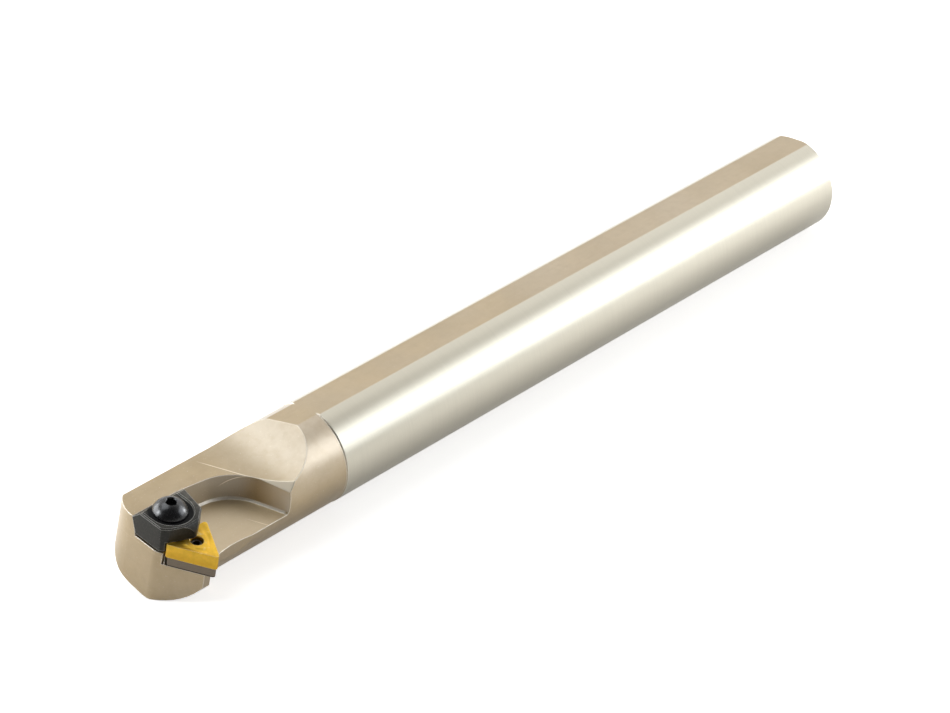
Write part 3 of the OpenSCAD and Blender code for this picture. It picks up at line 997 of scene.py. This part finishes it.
def hang_lamps():
    """The area lamps, each turned to the point that it faces."""
    for name, (place, target, size, power, colour) in LAMPS.items():
        data = bpy.data.lights.new(name, "AREA")
        data.shape = "RECTANGLE"
        data.size, data.size_y = size
        data.energy, data.color = power, colour
        lamp = bpy.data.objects.new(name, data)
        lamp.location = place
        lamp.rotation_euler = (Vector(target) - Vector(place)).to_track_quat("-Z", "Y").to_euler()
        bpy.context.scene.collection.objects.link(lamp)


def light_world():
    """A room that is dark on the camera's side, with a white backdrop behind the bar. Whatever side the camera
    looks from, it sees white past the floor."""
    world = bpy.data.worlds.new("studio")
    bpy.context.scene.world = world
    world.use_nodes = True
    n = Nodes(world.node_tree)
    facing = n.toward(n.node("ShaderNodeTexCoord").outputs["Generated"], CAMERA_SIDE)
    rise = n.math("POWER", n.spread(facing, *ROOM_RISE), ROOM_POWER)
    room = n.tree.nodes["Background"]
    n.feed(room.inputs["Color"], rgba(ROOM_COLOUR))
    n.feed(room.inputs["Strength"], n.math("MAXIMUM", rise, ROOM_LEAST))
    white = n.node("ShaderNodeBackground", {"Color": rgba(WHITE), "Strength": 1.0})
    shown = n.seen(n.spread(facing, *BACKDROP))
    both = n.node("ShaderNodeMixShader", {0: shown, 1: room.outputs[0], 2: white.outputs[0]})
    n.feed(n.tree.nodes["World Output"].inputs["Surface"], both.outputs[0])


def stand_camera(studio):
    """The camera at the place and angle of the photograph, with its lens."""
    data = bpy.data.cameras.new("camera")
    data.sensor_fit = "HORIZONTAL"
    data.sensor_width = SENSOR_WIDTH
    data.lens = studio.lens
    data.clip_start, data.clip_end = CLIP
    camera = bpy.data.objects.new("camera", data)
    camera.location = studio.camera_place
    camera.rotation_euler = studio.camera_turn
    bpy.context.scene.collection.objects.link(camera)
    bpy.context.scene.camera = camera
    bpy.context.scene.view_settings.view_transform = "Standard"


# Operators

class BORING_BAR_OT_finish_bar(bpy.types.Operator):
    """Give the bar its ground and matte steel"""

    bl_idname = "boring_bar.finish_bar"
    bl_label = "Finish the bar"

    def execute(self, context):
        bar_steel(context.scene.bar_finish).cover(cad("bar"))
        return {"FINISHED"}


class BORING_BAR_OT_coat_insert(bpy.types.Operator):
    """Make the insert with its chip grooves, and coat it"""

    bl_idname = "boring_bar.coat_insert"
    bl_label = "Coat the insert"

    def execute(self, context):
        shape = context.scene.insert_shape
        points = in_head_frame("insert")
        low, high = points.min(0), points.max(0)
        centre = np.array(((low[0] + high[0]) / 2, 0.0, 0.0)) + V * (low[1] + shape.circle / 2)
        piece = ring_grid("insert_coated", insert_rings(shape, centre, low[2], high[2]))
        golden_coating(shape).cover(piece)
        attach(piece, "bar_body")
        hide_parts("insert")
        return {"FINISHED"}


class BORING_BAR_OT_cut_screw(bpy.types.Operator):
    """Make the clamp screw with its dome, socket and thread"""

    bl_idname = "boring_bar.cut_screw"
    bl_label = "Cut the clamp screw"

    def execute(self, context):
        shape = context.scene.screw_shape
        ball, middle = dome(shape)
        ring = in_head_frame("stop_ring")[:, 2]
        # The CAD screw ends where its socket's flats meet the dome
        head_top = in_head_frame("clamp_screw")[:, 2].max()
        head_seat = head_top - middle - math.sqrt(ball**2 - (shape.socket / 2) ** 2)
        foot = SCREW_FOOT - U * (SCREW_FOOT @ U)
        neck = (ring.max() - head_seat + NECK_PLAY, ring.min() - head_seat - NECK_PLAY)
        piece = ring_grid("clamp_screw_threaded", screw_rings(shape, foot, head_seat, neck))
        polished_black().cover(piece)
        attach(piece, "screw_body")
        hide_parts("clamp_screw")
        return {"FINISHED"}


class BORING_BAR_OT_blacken_clamp(bpy.types.Operator):
    """Blacken the wedge, the lock pin and the retaining ring, and grind the shim"""

    bl_idname = "boring_bar.blacken_clamp"
    bl_label = "Blacken the clamp"

    def execute(self, context):
        settings = context.scene.clamp_finish
        black_oxide("wedge_black", settings, "wedge").cover(cad("wedge_clamp"))
        black_oxide("pin_black", settings, "pin").cover(cad("lock_pin"))
        black_oxide("ring_black", settings, "pin").cover(cad("stop_ring"))
        ground_shim(settings).cover(cad("shim"))
        return {"FINISHED"}


class BORING_BAR_OT_set_stage(bpy.types.Operator):
    """Lay the floor, hang the lamps and stand the camera"""

    bl_idname = "boring_bar.set_stage"
    bl_label = "Set the stage"

    def execute(self, context):
        studio = context.scene.studio_setup
        lay_floor(studio)
        hang_lamps()
        light_world()
        stand_camera(studio)
        return {"FINISHED"}


class BORING_BAR_PT_panel(bpy.types.Panel):
    """Sizes, colours and steps of the boring bar"""

    bl_label = "Boring Bar"
    bl_idname = "BORING_BAR_PT_panel"
    bl_space_type = "VIEW_3D"
    bl_region_type = "UI"
    bl_category = "Boring Bar"

    def draw(self, context):
        """One box for each step, with its settings."""
        for step, group in STEPS:
            box = self.layout.box()
            box.operator(step)
            settings = getattr(context.scene, group)
            for name in settings.bl_rna.properties.keys():
                if name not in ("rna_type", "name"):
                    box.prop(settings, name)


# Each operator with the settings that it uses, in the order in which they run
STEPS = (
    ("boring_bar.finish_bar", "bar_finish"),
    ("boring_bar.coat_insert", "insert_shape"),
    ("boring_bar.cut_screw", "screw_shape"),
    ("boring_bar.blacken_clamp", "clamp_finish"),
    ("boring_bar.set_stage", "studio_setup"),
)
GROUPS = {
    "bar_finish": BarFinish,
    "insert_shape": InsertShape,
    "screw_shape": ScrewShape,
    "clamp_finish": ClampFinish,
    "studio_setup": StudioSetup,
}
CLASSES = (
    *GROUPS.values(),
    BORING_BAR_OT_finish_bar,
    BORING_BAR_OT_coat_insert,
    BORING_BAR_OT_cut_screw,
    BORING_BAR_OT_blacken_clamp,
    BORING_BAR_OT_set_stage,
    BORING_BAR_PT_panel,
)


def register():
    """Register the classes and give the scene their settings."""
    for each in CLASSES:
        bpy.utils.register_class(each)
    for name, group in GROUPS.items():
        setattr(bpy.types.Scene, name, PointerProperty(type=group))


def unregister():
    """Take the settings and the classes away again."""
    for name in GROUPS:
        delattr(bpy.types.Scene, name)
    for each in reversed(CLASSES):
        bpy.utils.unregister_class(each)


def main():
    """Run every step."""
    register()
    bpy.ops.boring_bar.finish_bar()
    bpy.ops.boring_bar.coat_insert()
    bpy.ops.boring_bar.cut_screw()
    bpy.ops.boring_bar.blacken_clamp()
    bpy.ops.boring_bar.set_stage()


if __name__ == "__main__":
    main()
